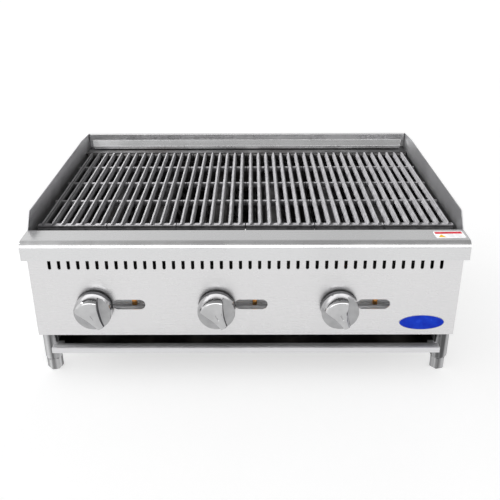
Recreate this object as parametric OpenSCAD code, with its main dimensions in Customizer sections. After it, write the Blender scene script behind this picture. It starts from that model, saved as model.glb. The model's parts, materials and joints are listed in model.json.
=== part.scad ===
// Countertop gas charbroiler with three U burners and six lift-off grates.
// X runs to the right, Y runs to the back, Z runs up.
// The origin is on the floor, under the middle of the whole appliance.

/* [Body] */
// Width across the side panels and the front ledge
body_w = 914; // [900:1:940]
// Depth of the side panels, from the ledge to the back
side_d = 622; // [610:1:660]
// Height from the underside of the body to the top of the ledge
body_h = 239.5; // [236:0.5:260]
// Height of the side panels above the ledge
guard_h = 40; // [36:1:60]
// Thickness of the side panels
side_t = 2; // [1.5:0.5:2.5]
// Thickness of the other sheet parts
sheet_t = 1.5; // [1:0.5:2]

/* [Front] */
// Depth of the ledge, front to back
ledge_d = 64; // [60:1:80]
// Height of the ledge's front lip
lip_h = 40.5; // [36:0.5:50]
// Radius of the ledge's nose
nose_r = 16; // [8:1:18]
// How far the ledge overhangs the control panel
overhang = 36; // [30:1:40]
// Number of vent slots in the control panel
vent_count = 42; // [30:2:42]
// Width of one vent slot
vent_w = 7; // [5:0.5:8]
// Width of the pilot slot
pilot_slot_w = 71; // [60:1:74]
// Height of the pilot slot
pilot_slot_h = 24; // [20:1:26]

/* [Grates] */
// Number of grates side by side
grate_count = 6; // [6]
// Bars in one grate
bar_count = 7; // [5:1:7]
// Distance from bar to bar
bar_pitch = 21.05; // [20:0.05:21.5]
// Width of a bar at its top
bar_w = 6; // [5:0.5:9]
// Width of a bar at its foot
bar_foot_w = 10.5; // [4:0.5:11]
// Height of a bar
bar_h = 11.5; // [10:0.5:18]
// Height of a grate, from its feet to the tops of its bars
grate_h = 22; // [18:1:22]
// Depth of a grate, front to back
grate_d = 514; // [500:1:532]

/* [Controls] */
// Width of the knob
knob_d = 81; // [70:1:84]
// How far the knob stands out from the panel
knob_reach = 45; // [40:1:50]
// Diameter of the valve stem
stem_d = 8; // [6:1:8]
// Turn of the pointer from straight up, clockwise, with the gas off
pointer_turn = 153; // [0:1:359]

/* [Gas] */
// Outer diameter of the gas pipe, three-quarter inch
pipe_d = 26.7; // [21.3, 26.7]
// Bore of the gas pipe
pipe_bore = 21; // [16, 21]
// How far the inlet stands out of the back panel
inlet_reach = 29; // [25:1:40]
// Diameter of the burner tube
burner_d = 34; // [30:1:36]
// Distance between the two legs of a burner
burner_span = 124; // [120:1:126]

/* [Stand] */
// Height of the legs, floor to body
leg_h = 101.5; // [95:0.5:120]
// Diameter of the leg tube
leg_d = 38; // [36:1:38]
// Diameter of the adjustable foot's plug, inside the leg
foot_d = 30; // [28:1:30]
// Foot height below the leg tube
foot_h = 30; // [26:1:34]

/* [Drip tray] */
// Width of the tray's pan
pan_w = 809; // [780:1:809]
// Depth of the pan, rim to bottom
pan_h = 24.5; // [20:0.5:28]
// Width of the tray's front lip
tray_lip_w = 848; // [840:1:860]

/* [Hidden] */
$fn = 64;

steel = "silver";
dark_steel = "dimgray";
iron = "#3a3a3c";
brass = "goldenrod";

// Small overlap that lets a cut pass through a face
cut = 1;
// Room between moving parts
play = 0.3;
// Room between a shaft and its bore
shaft_play = 0.08;

// Front to back places, worked out from the knob faces to the inlet's end
half_w = body_w / 2;
total_d = knob_reach + ledge_d - overhang + side_d + inlet_reach;
inlet_x = half_w - 27;
panel_y = knob_reach - total_d / 2;
side_y = panel_y + ledge_d - overhang;
ledge_y = side_y - ledge_d;
back_y = side_y + side_d;
inlet_y = total_d / 2;

// Heights
base_z = leg_h;
ledge_z = base_z + body_h;
lip_z = ledge_z - lip_h;
top_z = ledge_z + guard_h;
splash_z = top_z - 6;
grate_z = ledge_z - 2;
rest_z = grate_z - grate_h;
knob_z = base_z + 71;
pilot_slot_z = base_z + 76.5;
manifold_z = base_z + 48.5;
panel_top_z = ledge_z - 16;
frame_t = 2;
frame_z = base_z + frame_t;

// The firebox's cross-section
firebox_w = 898;
throat_w = 804;
throat_z = base_z + 78.5;
shoulder_z = base_z + 128.5;
firebox_z = rest_z - 3;
liner_front_y = side_y + 21;
liner_back_y = side_y + 559;
radiant_rest_z = base_z + 133.5;
radiant_rest_d = 38;

// Grates
grate_module = 149.5;
grate_w = grate_module - 2;
grate_y = side_y + 41;
rib_t = 8;
rib_drop = 5;
rib_h = 12;
rib_pitch = 123.5;
end_bar_d = 14;
end_drop = 4.5;

// Burner modules
module_pitch = 264;
manifold_y = side_y + 1;
elbow_len = 18;
pilot_slot_x = 12;
pilot_x = 20;
pilot_z = manifold_z + 26;
pilot_boss_y = side_y + 61;
valve_r = 9;
valve_front_y = panel_y + 14;
valve_back_y = panel_y + 45;
bend_y = 180;
burner_end_y = -205;

// Radiants
radiant_w = 110;
radiant_top_w = 30;
radiant_h = 52;
radiant_y = side_y + 39;
radiant_len = 505;

// Legs
leg_x = half_w - leg_d / 2;
leg_front_y = side_y;
leg_rear_y = back_y - 45;
foot_inside = 28;

// Drip tray
tray_z = base_z - 18;
tray_y = panel_y - 26;
tray_rim_y = tray_y + 19;
tray_back_y = liner_back_y + 7;
tray_rim_w = 11.5;
tray_lip_h = 12.5;

function module_x(i) = (i - 1) * module_pitch;
function valve_x(i) = module_x(i) - burner_span / 2;
function grate_x(i) = (i - (grate_count - 1) / 2) * grate_module;
function oval(a, b, n) = [for (i = [0 : n - 1]) [a * cos(360 * i / n), b * sin(360 * i / n)]];

// Keeps a right-hand part, or mirrors it to the left
module on_side(side) {
    if (side < 0) mirror([1, 0, 0]) children();
    else children();
}

// Extrudes an outline in Y and Z along X, from x0 to x1
module along_x(x0, x1) {
    translate([x0, 0, 0]) rotate([90, 0, 90]) linear_extrude(x1 - x0) children();
}

// Extrudes an outline in X and Z along Y, from y0 to y1
module along_y(y0, y1) {
    translate([0, y1, 0]) rotate([90, 0, 0]) linear_extrude(y1 - y0) children();
}

// A box between two corners
module block(a, b) {
    translate(a) cube(b - a);
}

// A rectangle between two corners
module block2(a, b) {
    translate(a) square(b - a);
}

// A rod along Y between y0 and y1
module rod_y(x, z, r, y0, y1) {
    translate([x, y0, z]) rotate([-90, 0, 0]) cylinder(r = r, h = y1 - y0);
}

// A slot with round ends, centred, as an outline
module round_slot(w, h) {
    r = min(w, h) / 2;
    if (w > h) {
        square([w - h, h], center = true);
        for (s = [-1, 1]) translate([s * (w / 2 - r), 0]) circle(r);
    } else {
        square([w, h - w], center = true);
        for (s = [-1, 1]) translate([0, s * (h / 2 - r)]) circle(r);
    }
}

// Flat side panel with its raised grease guard
module side_panel(side) {
    front_rise = 26;
    front_drop = 7;
    crest = 526;
    color(steel) on_side(side) along_x(half_w - side_t, half_w) polygon([
        [side_y, base_z], [side_y, ledge_z],
        [side_y + front_rise, top_z - front_drop],
        [side_y + crest, top_z],
        [back_y, splash_z], [back_y, base_z],
    ]);
}

// Back panel with two rows of cooling slots and the hole for the gas inlet
module back_panel() {
    slot_pitch = 40;
    slot_count = 18;
    slot_w = 26;
    slot_h = 6;
    slot_rows = [base_z + 108.5, base_z + 148.5];
    hole_r = pipe_d / 2 + 1.5;
    color(steel) difference() {
        block([side_t - half_w, back_y - sheet_t, base_z],
              [half_w - side_t, back_y, splash_z - sheet_t]);
        rod_y(inlet_x, manifold_z, hole_r, back_y - sheet_t - cut, back_y + cut);
        along_y(back_y - sheet_t - cut, back_y + cut)
            for (i = [0 : slot_count - 1], z = slot_rows)
                translate([(i - (slot_count - 1) / 2) * slot_pitch, z])
                    round_slot(slot_w, slot_h);
    }
}

// Splash guard: a cap over the back panel, with a slope that sends fat back
module rear_splash() {
    t = sheet_t;
    side_gap = 3;
    w = half_w - side_t - side_gap;
    cap_d = 14;
    cap_h = 16;
    slope = 16;
    fall = 13.5;
    hem_h = 7.5;
    front = back_y - cap_d;
    hem = front - slope;
    bend = splash_z - cap_h;
    foot = bend - fall;
    hem_z = foot - hem_h;
    mitre_top = 7;
    mitre_foot = 15;
    color(steel) difference() {
        along_x(-w, w) polygon([
            [back_y, splash_z], [front, splash_z], [front, bend], [hem, foot], [hem, hem_z],
            [hem + t, hem_z], [hem + t, foot - t / 2], [front + t, bend - t / 2],
            [front + t, splash_z - t], [back_y, splash_z - t],
        ]);
        for (s = [-1, 1]) on_side(s) along_y(hem - cut, front) polygon([
            [w - mitre_top, bend], [w - mitre_foot, hem_z - cut],
            [w + cut, hem_z - cut], [w + cut, bend],
        ]);
    }
}

// Outline of the ledge, drawn in by a given amount
module ledge_outline(inset) {
    translate([ledge_y + nose_r, ledge_z - nose_r]) circle(nose_r - inset);
    block2([ledge_y + nose_r, lip_z + inset], [side_y - inset, ledge_z - inset]);
    block2([ledge_y + inset, lip_z + inset], [side_y - inset, ledge_z - nose_r]);
}

// Front ledge: a bull-nosed sheet with a lip in front, closed at both ends
module front_ledge() {
    lip_return = 12;
    rear_flange_z = ledge_z - 23;
    color(steel) {
        along_x(-half_w, half_w) difference() {
            ledge_outline(0);
            ledge_outline(sheet_t);
            block2([ledge_y + lip_return, lip_z - cut], [side_y - sheet_t, lip_z + 2 * cut]);
            block2([side_y - 2 * sheet_t, lip_z - cut], [side_y + cut, rear_flange_z]);
        }
        for (s = [-1, 1]) on_side(s) along_x(half_w - sheet_t, half_w) difference() {
            ledge_outline(0);
            block2([panel_y, lip_z - cut], [side_y + cut, panel_top_z]);
        }
    }
}

// Control panel: vents under the lip, stem holes and pilot slots
module control_panel() {
    top = panel_top_z;
    vent_z0 = base_z + 161.5;
    vent_z1 = base_z + 194.5;
    vent_pitch = (body_w - 90) / (vent_count - 1);
    stem_hole_r = 7;
    foot_flange = 13.5;
    top_flange = 26;
    color("gainsboro") {
        along_y(panel_y, panel_y + sheet_t) difference() {
            block2([-half_w, base_z], [half_w, top]);
            for (i = [0 : vent_count - 1])
                translate([(i - (vent_count - 1) / 2) * vent_pitch, (vent_z0 + vent_z1) / 2])
                    round_slot(vent_w, vent_z1 - vent_z0);
            for (i = [0 : 2]) {
                translate([valve_x(i), knob_z]) circle(stem_hole_r);
                translate([module_x(i) + pilot_slot_x, pilot_slot_z])
                    round_slot(pilot_slot_w, pilot_slot_h);
            }
        }
        for (s = [-1, 1]) on_side(s)
            block([half_w - sheet_t, panel_y + sheet_t, base_z], [half_w, side_y, lip_z]);
        block([sheet_t - half_w, panel_y + sheet_t, base_z],
              [half_w - sheet_t, panel_y + foot_flange, base_z + sheet_t]);
        block([-half_w + 2 * side_t, panel_y + sheet_t, top - sheet_t],
              [half_w - 2 * side_t, panel_y + top_flange, top]);
    }
}

// Welded bottom frame with a drilled plate over each leg
module base_frame() {
    rail_w = 55;
    front_y = panel_y + 14;
    front_rail_y = side_y + 27;
    rear_rail_y = liner_back_y - 4;
    plate_t = 4;
    plate_w = 42;
    stud_hole_r = 6.1;
    plate_shift = 15;
    upstand = 22;
    saddle_w = 20;
    saddle_t = 6;
    saddle_x = [-345, 110, 385];
    saddle_bite = 0.4;
    out = half_w - side_t;
    color(dark_steel) difference() {
        union() {
            difference() {
                block([-out, front_y, base_z], [out, back_y - sheet_t, frame_z]);
                block([rail_w - out, front_rail_y, base_z - cut],
                      [out - rail_w, rear_rail_y, frame_z + cut]);
            }
            for (s = [-1, 1]) on_side(s) {
                block([out - sheet_t, side_y, frame_z], [out, back_y - sheet_t, frame_z + upstand]);
                for (y = [leg_front_y + plate_shift, leg_rear_y])
                    block([out - plate_w, y - plate_w / 2, frame_z],
                          [out - sheet_t, y + plate_w / 2, frame_z + plate_t]);
            }
            for (x = saddle_x)
                block([x, manifold_y - saddle_t / 2, frame_z],
                      [x + saddle_w, manifold_y + saddle_t / 2, manifold_z - pipe_d / 2 + saddle_bite]);
        }
        for (s = [-1, 1], y = [leg_front_y, leg_rear_y])
            translate([s * leg_x, y, base_z - cut])
                cylinder(r = stud_hole_r, h = frame_t + plate_t + 2 * cut);
        translate([0, manifold_y, manifold_z]) rotate([0, 90, 0])
            cylinder(d = pipe_d, h = body_w, center = true);
    }
}

// Side wall of the firebox: upright, sloped in to the throat, upright again
module liner_side(side) {
    t = sheet_t;
    top = firebox_w / 2;
    low = throat_w / 2;
    color(dark_steel) on_side(side) {
        along_y(liner_front_y + t, liner_back_y) polygon([
            [low, frame_z], [low, throat_z], [top, shoulder_z], [top, firebox_z],
            [top + t, firebox_z], [top + t, shoulder_z - t / 2], [low + t, throat_z - t / 2],
            [low + t, frame_z],
        ]);
        block([top + t, liner_front_y + t, firebox_z - t], [half_w - side_t, liner_back_y, firebox_z]);
    }
}

// Outline of the front and rear firebox walls
module firebox_outline(top) {
    a = firebox_w / 2 + sheet_t;
    b = throat_w / 2 + sheet_t;
    polygon([
        [-b, frame_z], [b, frame_z], [b, throat_z - 1], [a, shoulder_z - 1], [a, top],
        [-a, top], [-a, shoulder_z - 1], [-b, throat_z - 1],
    ]);
}

// Front firebox wall, which shields the manifold, with a rest for the radiants
module liner_front() {
    hood_hole_r = 11;
    tube_hole_r = 4.5;
    rest_w = throat_w - 8;
    color(dark_steel) {
        along_y(liner_front_y, liner_front_y + sheet_t) difference() {
            firebox_outline(firebox_z);
            for (i = [0 : 2]) {
                translate([valve_x(i), knob_z]) circle(hood_hole_r);
                translate([module_x(i) + pilot_x, pilot_z]) circle(tube_hole_r);
            }
        }
        block([-firebox_w / 2, side_y - sheet_t, firebox_z - sheet_t],
              [firebox_w / 2, liner_front_y, firebox_z]);
        block([-rest_w / 2, liner_front_y + sheet_t, radiant_rest_z - 2],
              [rest_w / 2, liner_front_y + radiant_rest_d, radiant_rest_z]);
    }
}

// Rear firebox wall, with a rest for the radiants and a shelf under the splash
module liner_rear() {
    rest_w = throat_w - 8;
    shelf_z = grate_z - 4;
    color(dark_steel) {
        along_y(liner_back_y, liner_back_y + sheet_t) firebox_outline(shelf_z);
        block([-half_w + side_t, liner_back_y + sheet_t, shelf_z - sheet_t],
              [half_w - side_t, back_y - sheet_t, shelf_z]);
        block([-rest_w / 2, liner_back_y - radiant_rest_d, radiant_rest_z - 2],
              [rest_w / 2, liner_back_y, radiant_rest_z]);
    }
}

// Angle that carries one end of the grates; wall is the upright's Y, dir points inward
module grate_rest(wall, dir) {
    w = firebox_w / 2 - 1;
    t = 2;
    depth = 27;
    drop = 27;
    y0 = min(wall, wall + dir * depth);
    y1 = max(wall, wall + dir * depth);
    v0 = min(wall, wall + dir * t);
    v1 = max(wall, wall + dir * t);
    color(dark_steel) {
        block([-w, y0, rest_z - t], [w, y1, rest_z]);
        block([-w, v0, rest_z - drop], [w, v1, rest_z - t]);
    }
}

module grate_rest_front() {
    grate_rest(liner_front_y + sheet_t, 1);
}

module grate_rest_rear() {
    grate_rest(liner_back_y, -1);
}

// Gas manifold: a capped pipe across the front with a tapping for every valve
module gas_manifold() {
    x0 = valve_x(0) - 36;
    x1 = inlet_x - elbow_len;
    cap = 6;
    neck_r = 7;
    pilot_neck_r = 3.5;
    color(dark_steel) difference() {
        translate([x0, manifold_y, manifold_z]) rotate([0, 90, 0]) cylinder(d = pipe_d, h = x1 - x0);
        translate([x0 + cap, manifold_y, manifold_z]) rotate([0, 90, 0])
            cylinder(d = pipe_bore, h = x1 - x0);
        for (i = [0 : 2]) {
            translate([valve_x(i), manifold_y, manifold_z]) cylinder(r = neck_r, h = pipe_d);
            translate([module_x(i) + pilot_x, manifold_y, manifold_z])
                cylinder(r = pilot_neck_r, h = pipe_d);
        }
    }
}

// Elbow and supply pipe that run to the back of the appliance
module gas_inlet() {
    elbow_r = pipe_d / 2 + 4;
    socket = 26;
    bore_depth = 60;
    collar_r = pipe_d / 2 + 8;
    collar_t = 5;
    color(dark_steel) difference() {
        union() {
            translate([inlet_x - elbow_len, manifold_y, manifold_z]) rotate([0, 90, 0])
                cylinder(r = elbow_r, h = elbow_len);
            translate([inlet_x, manifold_y, manifold_z]) sphere(elbow_r);
            rod_y(inlet_x, manifold_z, elbow_r, manifold_y, manifold_y + socket);
            rod_y(inlet_x, manifold_z, pipe_d / 2, manifold_y + socket, inlet_y);
            translate([inlet_x, back_y, manifold_z]) rotate([-90, 0, 0])
                cylinder(r = collar_r, h = collar_t, $fn = 6);
        }
        rod_y(inlet_x, manifold_z, pipe_bore / 2, inlet_y - bore_depth, inlet_y + cut);
    }
}

// Burner valve: a body on the manifold with a bore for its stem
module valve(i) {
    neck_r = 7;
    neck_sink = 2;
    stem_bore = 18;
    x = valve_x(i);
    color(brass) difference() {
        union() {
            rod_y(x, knob_z, valve_r, valve_front_y, valve_back_y);
            translate([x, manifold_y, manifold_z + pipe_d / 2 - neck_sink])
                cylinder(r = neck_r, h = knob_z - manifold_z - pipe_d / 2);
        }
        rod_y(x, knob_z, stem_d / 2 + shaft_play, valve_front_y - cut, valve_front_y + stem_bore);
    }
}

// Orifice hoods: hexagonal brass caps that point into the burner mouths
module orifice_hoods() {
    hood_r = 8;
    hood_len = 18;
    orifice_r = 1.2;
    color(brass) for (i = [0 : 2]) difference() {
        translate([valve_x(i), valve_back_y, knob_z]) rotate([-90, 0, 0])
            cylinder(r = hood_r, h = hood_len, $fn = 6);
        rod_y(valve_x(i), knob_z, orifice_r, valve_back_y + 4, valve_back_y + hood_len + cut);
    }
}

// U burner: mouth at the front left, bend at the back, closed front right end
module burner(i) {
    r = burner_d / 2;
    x0 = valve_x(i);
    x1 = x0 + burner_span;
    mid = (x0 + x1) / 2;
    mouth_y = liner_front_y + 6;
    bell_len = 14;
    bell_r = r + 4;
    bore_r = r - 3;
    tab_w = 30;
    tab_t = 4;
    strap_w = 20;
    color("slategray") difference() {
        union() {
            rod_y(x0, knob_z, bell_r, mouth_y, mouth_y + bell_len);
            rod_y(x0, knob_z, r, mouth_y + bell_len, bend_y);
            rod_y(x1, knob_z, r, burner_end_y, bend_y);
            translate([mid, bend_y, knob_z])
                rotate_extrude(angle = 180) translate([burner_span / 2, 0]) circle(r);
            block([mid - tab_w / 2, bend_y + burner_span / 2 + bore_r, knob_z - tab_t / 2],
                  [mid + tab_w / 2, liner_back_y, knob_z + tab_t / 2]);
            block([x1 - strap_w / 2, liner_front_y + sheet_t, knob_z - tab_t / 2],
                  [x1 + strap_w / 2, burner_end_y + 1, knob_z + tab_t / 2]);
        }
        rod_y(x0, knob_z, bore_r, mouth_y - cut, bend_y);
        rod_y(x1, knob_z, bore_r, burner_end_y + 4, bend_y);
        translate([mid, bend_y, knob_z])
            rotate_extrude(angle = 180) translate([burner_span / 2, 0]) circle(bore_r);
    }
}

// Radiant: a pierced steel roof over one burner leg
module radiant(i) {
    t = 2;
    x = valve_x(floor(i / 2)) + (i % 2) * burner_span;
    half = radiant_w / 2;
    half_top = radiant_top_w / 2;
    z0 = radiant_rest_z;
    z1 = z0 + radiant_h;
    slots = 8;
    slot_len = 34;
    slot_h = 14;
    slot_pitch = 60;
    slot_y = radiant_y + 26;
    slot_z = z0 + 20;
    color(dark_steel) difference() {
        translate([x, 0, 0]) along_y(radiant_y, radiant_y + radiant_len) polygon([
            [-half, z0], [-half_top, z1], [half_top, z1], [half, z0],
            [half - t * 1.3, z0], [half_top - t / 2, z1 - t], [t / 2 - half_top, z1 - t],
            [t * 1.3 - half, z0],
        ]);
        for (k = [0 : slots - 1])
            block([x - half, slot_y + k * slot_pitch, slot_z],
                  [x + half, slot_y + k * slot_pitch + slot_len, slot_z + slot_h]);
    }
}

// Pilot burners: small upright jets between the legs of each burner
module pilot_burners() {
    r = 6;
    y = pilot_boss_y + 7;
    foot_drop = 8;
    tall = 46;
    cup = 18;
    boss_r = 4.5;
    color(steel) for (i = [0 : 2]) translate([module_x(i) + pilot_x, 0, 0]) difference() {
        union() {
            translate([0, y, pilot_z - foot_drop]) cylinder(r = r, h = tall);
            block([-boss_r, pilot_boss_y, pilot_z - boss_r], [boss_r, y, pilot_z + boss_r]);
        }
        translate([0, y, pilot_z - foot_drop + tall - cup]) cylinder(r = r - 2, h = cup + cut);
    }
}

// Pilot tubes: from each pilot valve back to its jet
module pilot_tubes() {
    r = 3.2;
    color("lightgray") for (i = [0 : 2])
        rod_y(module_x(i) + pilot_x, pilot_z, r, manifold_y + 6, pilot_boss_y);
}

// Pilot valves: brass blocks on the manifold, each bored for its adjusting screw
module pilot_valves() {
    w = 10;
    d = 12;
    h = 17;
    neck_r = 3.5;
    foot = manifold_z + pipe_d / 2 + 0.6;
    color(brass) for (i = [0 : 2]) difference() {
        union() {
            translate([module_x(i) + pilot_x - w / 2, manifold_y - d / 2, foot]) cube([w, d, h]);
            translate([module_x(i) + pilot_x, manifold_y, foot - 3]) cylinder(r = neck_r, h = 3);
        }
        rod_y(module_x(i) + pilot_x, pilot_z, 2 + shaft_play,
              manifold_y - d / 2 - cut, manifold_y + 2);
    }
}

// Slotted adjusting screw of one pilot valve
module pilot_screw(i) {
    head_r = 3.8;
    head_h = 3;
    shank_r = 2;
    shank_len = 7;
    slot_w = 1;
    slot_d = 1;
    x = module_x(i) + pilot_x;
    face = manifold_y - 6;
    head_y = face - 0.2;
    color(brass) difference() {
        union() {
            rod_y(x, pilot_z, shank_r, head_y - 1, face + shank_len);
            rod_y(x, pilot_z, head_r, head_y - head_h, head_y);
        }
        block([x - head_r - cut, head_y - head_h - cut, pilot_z - slot_w / 2],
              [x + head_r + cut, head_y - head_h + slot_d, pilot_z + slot_w / 2]);
    }
}

// Angles under the frame that carry the drip tray's side rims
module tray_runners() {
    rim_x = pan_w / 2 + tray_rim_w;
    wall_x = rim_x + 1;
    ledge_x = pan_w / 2 + 1.5;
    shelf_z = tray_z - sheet_t - 0.2;
    color(dark_steel) for (s = [-1, 1]) on_side(s) along_y(panel_y + 7, leg_rear_y) polygon([
        [ledge_x, shelf_z - sheet_t], [wall_x + sheet_t, shelf_z - sheet_t],
        [wall_x + sheet_t, base_z], [wall_x, base_z], [wall_x, shelf_z], [ledge_x, shelf_z],
    ]);
}

// Drip tray: a shallow pan with side rims and a folded front lip
module drip_tray() {
    t = sheet_t;
    half_pan = pan_w / 2;
    half_lip = tray_lip_w / 2;
    bottom = tray_z - pan_h;
    hem = 10;
    color(steel) {
        difference() {
            block([-half_pan, tray_rim_y, bottom], [half_pan, tray_back_y, tray_z]);
            block([t - half_pan, tray_rim_y + t, bottom + t],
                  [half_pan - t, tray_back_y - t, tray_z + cut]);
        }
        for (s = [-1, 1]) on_side(s)
            block([half_pan, tray_rim_y, tray_z - t],
                  [half_pan + tray_rim_w, tray_back_y, tray_z]);
        block([-half_lip, tray_y, tray_z - t], [half_lip, tray_rim_y, tray_z]);
        block([-half_lip, tray_y, tray_z - tray_lip_h], [half_lip, tray_y + t, tray_z - t]);
        block([-half_lip, tray_y + t, tray_z - tray_lip_h],
              [half_lip, tray_y + hem, tray_z - tray_lip_h + t]);
        for (s = [-1, 1]) on_side(s)
            block([half_lip - t, tray_y + t, tray_z - tray_lip_h + t],
                  [half_lip, tray_rim_y, tray_z - t]);
    }
}

// Leg: a tube with a top stud, open below for its foot
module leg(side, y) {
    r = leg_d / 2;
    bore_r = foot_d / 2 + play;
    taper = 5;
    stud_r = 6;
    stud_h = 14;
    color(steel) translate([side * leg_x, y, 0]) difference() {
        union() {
            translate([0, 0, foot_h]) cylinder(r1 = r - 2, r2 = r, h = taper);
            translate([0, 0, foot_h + taper]) cylinder(r = r, h = leg_h - foot_h - taper);
            translate([0, 0, leg_h]) cylinder(r = stud_r, h = stud_h);
        }
        translate([0, 0, foot_h - cut]) cylinder(r = bore_r, h = leg_h - foot_h - 4);
    }
}

// Foot: a plug that screws in and out of the leg to level the appliance
module foot(side, y) {
    hex_r = 17.8;
    hex_turn = 12;
    hex_h = foot_h - 0.8;
    toe = 4;
    color(steel) translate([side * leg_x, y, 0]) {
        rotate([0, 0, hex_turn]) {
            cylinder(r1 = hex_r - 2.5, r2 = hex_r, h = toe, $fn = 6);
            translate([0, 0, toe]) cylinder(r = hex_r, h = hex_h - toe, $fn = 6);
        }
        translate([0, 0, hex_h]) cylinder(d = foot_d, h = foot_h + foot_inside - hex_h);
    }
}

// Stem of one burner valve, turned by its knob
module valve_stem(i) {
    reach = 28;
    inside = 16;
    color(brass) rod_y(valve_x(i), knob_z, stem_d / 2, panel_y - reach, valve_front_y + inside);
}

// Outline of one scoop beside the knob's grip: narrow grip at the tip, wide at the tail
module knob_scoop() {
    r = knob_d / 2;
    tip = 6.5;
    tail = 28;
    reach = 68;
    steps = 12;
    polygon(concat(
        [for (i = [0 : steps]) [tip + (tail - tip) * pow(i / steps, 1.7), r + 1 - reach * i / steps]],
        [[r + 4, r + 1 - reach], [r + 4, r + 1]]
    ));
}

// Knob: a domed disc whose two scoops leave a fan-shaped grip ending in a pointer
module knob(i) {
    r = knob_d / 2;
    gap = 5;
    wall = 16;
    scoop_z = 27;
    steps = 12;
    bore_len = 26;
    color("whitesmoke") translate([valve_x(i), panel_y, knob_z]) rotate([90, 0, 0])
    rotate([0, 0, -pointer_turn]) difference() {
        rotate_extrude() polygon(concat(
            [[0, gap], [r - 1.5, gap], [r, gap + 1.5]],
            [for (k = [0 : steps]) [r * cos(90 * k / steps),
                                    wall + (knob_reach - wall) * sin(90 * k / steps)]]
        ));
        for (s = [-1, 1]) on_side(s) translate([0, 0, scoop_z])
            linear_extrude(knob_reach) knob_scoop();
        translate([0, 0, gap - cut]) cylinder(d = stem_d + 0.1, h = bore_len);
    }
}

// One cast-iron grate: tapered bars joined by lower ribs and sturdy end bars
module grate(i) {
    y1 = grate_y + grate_d;
    front_inset = 2;
    rear_inset = 0.5;
    crown = 2;
    crown_in = 0.6;
    nose_run = 7;
    nose_drop = 4;
    nose_y = grate_y + front_inset;
    rib_y0 = grate_y + 27;
    color(iron) translate([grate_x(i), 0, 0]) {
        difference() {
            for (k = [0 : bar_count - 1])
                translate([(k - (bar_count - 1) / 2) * bar_pitch, 0, 0])
                    along_y(nose_y, y1 - rear_inset) polygon([
                        [-bar_foot_w / 2, grate_z - bar_h], [bar_foot_w / 2, grate_z - bar_h],
                        [bar_w / 2, grate_z - crown], [bar_w / 2 - crown_in, grate_z],
                        [crown_in - bar_w / 2, grate_z], [-bar_w / 2, grate_z - crown],
                    ]);
            along_x(-grate_w / 2, grate_w / 2) polygon([
                [nose_y - cut, grate_z - nose_drop], [nose_y + nose_run, grate_z + cut],
                [nose_y - cut, grate_z + cut],
            ]);
        }
        for (k = [1 : 3])
            block([-grate_w / 2, rib_y0 + k * rib_pitch - rib_t / 2, grate_z - rib_drop - rib_h],
                  [grate_w / 2, rib_y0 + k * rib_pitch + rib_t / 2, grate_z - rib_drop]);
        for (y = [grate_y, y1 - end_bar_d])
            block([-grate_w / 2, y, rest_z], [grate_w / 2, y + end_bar_d, grate_z - end_drop]);
    }
}

// Plain oval badge
module badge() {
    t = 1.5;
    x = 384;
    z = base_z + 31.5;
    color("mediumblue") along_y(panel_y - t, panel_y)
        translate([x, z]) polygon(oval(49.5, 18.5, 48));
}

// Caution label on the ledge, stuck on slightly crooked
module caution_label() {
    w = 61;
    d = 33;
    t = 0.4;
    crooked = 2;
    color("white") translate([half_w - 36.5, ledge_y + 38, ledge_z]) rotate([0, 0, crooked])
        translate([-w / 2, -d / 2, 0]) cube([w, d, t]);
}

// Screws of the back panel and of the control panel's bottom flange
module panel_screws() {
    head_r = 4.5;
    head_h = 2.2;
    edge = 14;
    low = base_z + edge;
    middle = base_z + 130;
    high = splash_z - 26;
    inner_x = 150;
    flange_x = [-300, -100, 100, 300];
    flange_y = panel_y + 7.5;
    color("gray") {
        for (s = [-1, 1], z = [low, middle, high])
            rod_y(s * (half_w - side_t - edge), z, head_r, back_y, back_y + head_h);
        for (s = [-1, 1], z = [low, high])
            rod_y(s * inner_x, z, head_r, back_y, back_y + head_h);
        for (x = flange_x)
            translate([x, flange_y, base_z - head_h]) cylinder(r = head_r, h = head_h);
    }
}

side_panel(-1);  // side_panel_left
side_panel(1);  // side_panel_right
back_panel();
rear_splash();
front_ledge();
control_panel();
base_frame();
liner_side(-1);  // liner_left
liner_side(1);  // liner_right
liner_rear();
liner_front();
grate_rest_front();
grate_rest_rear();
gas_manifold();
gas_inlet();
valve(0);  // valve_left
valve(1);  // valve_middle
valve(2);  // valve_right
orifice_hoods();
burner(0);  // burner_left
burner(1);  // burner_middle
burner(2);  // burner_right
for (i = [0 : 5]) radiant(i);
pilot_burners();
pilot_tubes();
pilot_valves();
pilot_screw(0);  // pilot_screw_left
pilot_screw(1);  // pilot_screw_middle
pilot_screw(2);  // pilot_screw_right
tray_runners();
drip_tray();
leg(-1, leg_front_y);  // leg_front_left
leg(1, leg_front_y);  // leg_front_right
leg(-1, leg_rear_y);  // leg_rear_left
leg(1, leg_rear_y);  // leg_rear_right
foot(-1, leg_front_y);  // foot_front_left
foot(1, leg_front_y);  // foot_front_right
foot(-1, leg_rear_y);  // foot_rear_left
foot(1, leg_rear_y);  // foot_rear_right
valve_stem(0);  // valve_stem_left
valve_stem(1);  // valve_stem_middle
valve_stem(2);  // valve_stem_right
knob(0);  // knob_left
knob(1);  // knob_middle
knob(2);  // knob_right
for (i = [0 : 5]) grate(i);
badge();
caution_label();
panel_screws();
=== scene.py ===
import json
import math
import random

import bmesh
import bpy
from mathutils import Matrix, Vector, noise

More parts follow.
